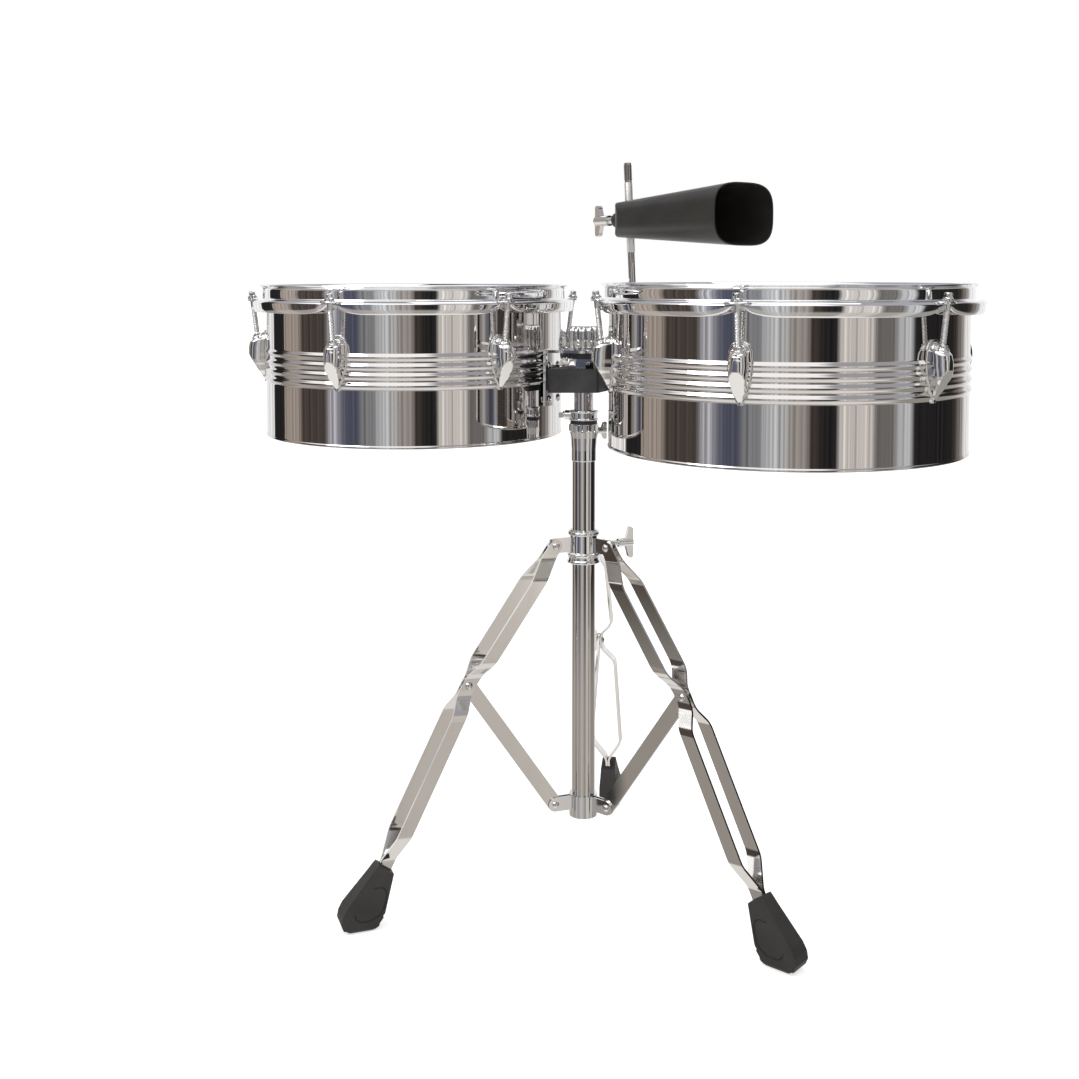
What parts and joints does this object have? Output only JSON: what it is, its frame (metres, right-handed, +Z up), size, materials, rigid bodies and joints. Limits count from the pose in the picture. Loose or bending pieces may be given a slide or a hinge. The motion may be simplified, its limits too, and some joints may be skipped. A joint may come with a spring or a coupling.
{
  "type": "timbales on a folding stand",
  "caption": "Pair of open-bottomed metal hand-and-stick drums on a folding tripod, with a cowbell on an L-rod; drums swivel and the post telescopes.",
  "frame": {"origin": "the stand's vertical axis where it meets the floor", "axes": "+Z up; +X from the small drum to the large drum; -Y towards the audience"},
  "size_m": [0.7924, 0.4635, 0.7972],
  "materials": {
    "shell_chrome": "bright plated steel",
    "hoop_chrome": "bright plated steel",
    "lug_chrome": "bright plated casting",
    "bracket_chrome": "bright plated steel plate",
    "fastener_chrome": "bright plated steel",
    "tube_chrome": "bright plated steel tube",
    "collar_chrome": "bright plated steel",
    "knob_chrome": "bright plated casting",
    "strip_chrome": "bright plated steel strip",
    "cast_chrome": "bright plated casting",
    "cast_black": "grainy black powder coat on a casting",
    "bell_black": "satin black powder coat on sheet steel",
    "head_film": "white coated polyester film",
    "black_plastic": "black nylon",
    "boot_rubber": "black moulded rubber"
  },
  "bodies": {
    "leg_collar": {"upper_collar": "collar_chrome", "collar_bush": "collar_chrome", "collar_pins": "fastener_chrome"},
    "base_post": {"base_tube": "tube_chrome", "lower_collar": "collar_chrome", "lower_collar_pins": "fastener_chrome", "height_clamp": "cast_chrome", "clamp_bush": "black_plastic"},
    "top_post": {"inner_tube": "tube_chrome", "memory_lock": "collar_chrome", "mount_block": "cast_black", "centre_stud": "fastener_chrome", "bracket_washers": "black_plastic", "rod_clamp": "cast_black"},
    "collar_wing_bolt": {"collar_wing_bolt": "fastener_chrome"},
    "clamp_wing_screw": {"clamp_wing_screw": "fastener_chrome"},
    "memory_lock_screw": {"memory_lock_screw": "fastener_chrome"},
    "clamp_knob": {"clamp_knob": "knob_chrome"},
    "rod_clamp_wing_screw": {"rod_clamp_wing_screw": "fastener_chrome"},
    "cowbell_rod": {"cowbell_rod": "tube_chrome"},
    "cowbell": {"cowbell": "bell_black", "cowbell_bush": "black_plastic", "cowbell_eyebolt": "fastener_chrome"},
    "cowbell_wing_nut": {"cowbell_wing_nut": "fastener_chrome"},
    "rear_leg": {"rear_leg_strips": "strip_chrome", "rear_boot": "boot_rubber", "rear_knee_rivets": "fastener_chrome"},
    "rear_brace": {"rear_brace": "strip_chrome"},
    "left_leg": {"left_leg_strips": "strip_chrome", "left_boot": "boot_rubber", "left_knee_rivets": "fastener_chrome"},
    "left_brace": {"left_brace": "strip_chrome"},
    "right_leg": {"right_leg_strips": "strip_chrome", "right_boot": "boot_rubber", "right_knee_rivets": "fastener_chrome"},
    "right_brace": {"right_brace": "strip_chrome"},
    "small_drum": {"small_shell": "shell_chrome", "small_head": "head_film", "small_hoop": "hoop_chrome", "small_lugs": "lug_chrome", "small_bracket": "bracket_chrome", "small_bracket_screws": "fastener_chrome"},
    "small_tension_rod_1": {"small_tension_rod_1": "fastener_chrome"},
    "small_tension_rod_2": {"small_tension_rod_2": "fastener_chrome"},
    "small_tension_rod_3": {"small_tension_rod_3": "fastener_chrome"},
    "small_tension_rod_4": {"small_tension_rod_4": "fastener_chrome"},
    "small_tension_rod_5": {"small_tension_rod_5": "fastener_chrome"},
    "small_tension_rod_6": {"small_tension_rod_6": "fastener_chrome"},
    "large_drum": {"large_shell": "shell_chrome", "large_head": "head_film", "large_hoop": "hoop_chrome", "large_lugs": "lug_chrome", "large_bracket": "bracket_chrome", "large_bracket_screws": "fastener_chrome"},
    "large_tension_rod_1": {"large_tension_rod_1": "fastener_chrome"},
    "large_tension_rod_2": {"large_tension_rod_2": "fastener_chrome"},
    "large_tension_rod_3": {"large_tension_rod_3": "fastener_chrome"},
    "large_tension_rod_4": {"large_tension_rod_4": "fastener_chrome"},
    "large_tension_rod_5": {"large_tension_rod_5": "fastener_chrome"},
    "large_tension_rod_6": {"large_tension_rod_6": "fastener_chrome"}
  },
  "joints": [
    {"name": "rear_leg_fold", "type": "hinge", "parent": "leg_collar", "child": "rear_leg", "pos_m": [-0.00731, 0.03218, 0.383], "axis": [-0.9751, -0.2215, 0], "range_deg": [0, 28]},
    {"name": "left_leg_fold", "type": "hinge", "parent": "leg_collar", "child": "left_leg", "pos_m": [-0.02421, -0.02242, 0.383], "axis": [0.6794, -0.7337, 0], "range_deg": [0, 28]},
    {"name": "right_leg_fold", "type": "hinge", "parent": "leg_collar", "child": "right_leg", "pos_m": [0.03152, -0.00976, 0.383], "axis": [0.2957, 0.9553, 0], "range_deg": [0, 28]},
    {"name": "post_slide", "type": "slide", "parent": "leg_collar", "child": "base_post", "axis": [0, 0, -1], "range_m": [0, 0.0587]},
    {"name": "rear_brace_fold", "type": "hinge", "parent": "base_post", "child": "rear_brace", "pos_m": [-0.00731, 0.03218, 0.101], "axis": [0.9751, 0.2215, 0], "range_deg": [0, 28]},
    {"name": "left_brace_fold", "type": "hinge", "parent": "base_post", "child": "left_brace", "pos_m": [-0.02421, -0.02242, 0.101], "axis": [-0.6794, 0.7337, 0], "range_deg": [0, 28]},
    {"name": "right_brace_fold", "type": "hinge", "parent": "base_post", "child": "right_brace", "pos_m": [0.03152, -0.00976, 0.101], "axis": [-0.2957, -0.9553, 0], "range_deg": [0, 28]},
    {"name": "height_adjust", "type": "slide", "parent": "base_post", "child": "top_post", "axis": [0, 0, 1], "range_m": [0, 0.2]},
    {"name": "small_drum_swivel", "type": "hinge", "parent": "top_post", "child": "small_drum", "pos_m": [0, 0, 0.59], "axis": [0, 0, 1], "range_deg": [-6, 6]},
    {"name": "large_drum_swivel", "type": "hinge", "parent": "top_post", "child": "large_drum", "pos_m": [0, 0, 0.582], "axis": [0, 0, 1], "range_deg": [-6, 3]},
    {"name": "collar_wing_bolt_turn", "type": "hinge", "parent": "leg_collar", "child": "collar_wing_bolt", "pos_m": [0, 0, 0.381], "axis": [0.7337, 0.6794, 0], "continuous": true},
    {"name": "clamp_wing_screw_turn", "type": "hinge", "parent": "base_post", "child": "clamp_wing_screw", "pos_m": [0, 0, 0.505], "axis": [0.7337, 0.6794, 0], "continuous": true},
    {"name": "memory_lock_screw_turn", "type": "hinge", "parent": "top_post", "child": "memory_lock_screw", "pos_m": [0, 0, 0.52255], "axis": [-0.9205, -0.3907, 0], "continuous": true},
    {"name": "clamp_knob_turn", "type": "hinge", "parent": "top_post", "child": "clamp_knob", "pos_m": [0, 0, 0.6], "axis": [0, 0, 1], "continuous": true},
    {"name": "rod_clamp_wing_screw_turn", "type": "hinge", "parent": "top_post", "child": "rod_clamp_wing_screw", "pos_m": [0.01789, 0.03501, 0.57], "axis": [0, 0, 1], "continuous": true},
    {"name": "cowbell_rod_turn", "type": "hinge", "parent": "top_post", "child": "cowbell_rod", "pos_m": [0.01442, 0.02457, 0.5605], "axis": [0.3156, 0.9489, 0], "range_deg": [-12, 2]},
    {"name": "cowbell_slide", "type": "slide", "parent": "cowbell_rod", "child": "cowbell", "axis": [-0.0513, 0.0171, 0.9985], "range_m": [-0.025, 0.025]},
    {"name": "cowbell_wing_nut_turn", "type": "hinge", "parent": "cowbell", "child": "cowbell_wing_nut", "pos_m": [0.02328, 0.08096, 0.734], "axis": [-0.866, 0.5, 0], "continuous": true},
    {"name": "small_tension_rod_1_turn", "type": "hinge", "parent": "small_drum", "child": "small_tension_rod_1", "pos_m": [-0.04896, 0.0898, 0.643], "axis": [0.1033, 0.0596, 0.9929], "continuous": true},
    {"name": "small_tension_rod_2_turn", "type": "hinge", "parent": "small_drum", "child": "small_tension_rod_2", "pos_m": [-0.2045, 0.1796, 0.643], "axis": [0, 0.1193, 0.9929], "continuous": true},
    {"name": "small_tension_rod_3_turn", "type": "hinge", "parent": "small_drum", "child": "small_tension_rod_3", "pos_m": [-0.36004, 0.0898, 0.643], "axis": [-0.1033, 0.0596, 0.9929], "continuous": true},
    {"name": "small_tension_rod_4_turn", "type": "hinge", "parent": "small_drum", "child": "small_tension_rod_4", "pos_m": [-0.36004, -0.0898, 0.643], "axis": [-0.1033, -0.0596, 0.9929], "continuous": true},
    {"name": "small_tension_rod_5_turn", "type": "hinge", "parent": "small_drum", "child": "small_tension_rod_5", "pos_m": [-0.2045, -0.1796, 0.643], "axis": [0, -0.1193, 0.9929], "continuous": true},
    {"name": "small_tension_rod_6_turn", "type": "hinge", "parent": "small_drum", "child": "small_tension_rod_6", "pos_m": [-0.04896, -0.0898, 0.643], "axis": [0.1033, -0.0596, 0.9929], "continuous": true},
    {"name": "large_tension_rod_1_turn", "type": "hinge", "parent": "large_drum", "child": "large_tension_rod_1", "pos_m": [0.38354, 0.09615, 0.646], "axis": [0.1033, 0.0596, 0.9929], "continuous": true},
    {"name": "large_tension_rod_2_turn", "type": "hinge", "parent": "large_drum", "child": "large_tension_rod_2", "pos_m": [0.217, 0.1923, 0.646], "axis": [0, 0.1193, 0.9929], "continuous": true},
    {"name": "large_tension_rod_3_turn", "type": "hinge", "parent": "large_drum", "child": "large_tension_rod_3", "pos_m": [0.05046, 0.09615, 0.646], "axis": [-0.1033, 0.0596, 0.9929], "continuous": true},
    {"name": "large_tension_rod_4_turn", "type": "hinge", "parent": "large_drum", "child": "large_tension_rod_4", "pos_m": [0.05046, -0.09615, 0.646], "axis": [-0.1033, -0.0596, 0.9929], "continuous": true},
    {"name": "large_tension_rod_5_turn", "type": "hinge", "parent": "large_drum", "child": "large_tension_rod_5", "pos_m": [0.217, -0.1923, 0.646], "axis": [0, -0.1193, 0.9929], "continuous": true},
    {"name": "large_tension_rod_6_turn", "type": "hinge", "parent": "large_drum", "child": "large_tension_rod_6", "pos_m": [0.38354, -0.09615, 0.646], "axis": [0.1033, -0.0596, 0.9929], "continuous": true}
  ],
  "couplings": [
    {"joint": "left_leg_fold", "follows": "rear_leg_fold", "ratio": 1},
    {"joint": "right_leg_fold", "follows": "rear_leg_fold", "ratio": 1},
    {"joint": "post_slide", "follows": "rear_leg_fold", "m_per_rad": 0.12},
    {"joint": "rear_brace_fold", "follows": "rear_leg_fold", "ratio": 1},
    {"joint": "left_brace_fold", "follows": "rear_leg_fold", "ratio": 1},
    {"joint": "right_brace_fold", "follows": "rear_leg_fold", "ratio": 1}
  ]
}
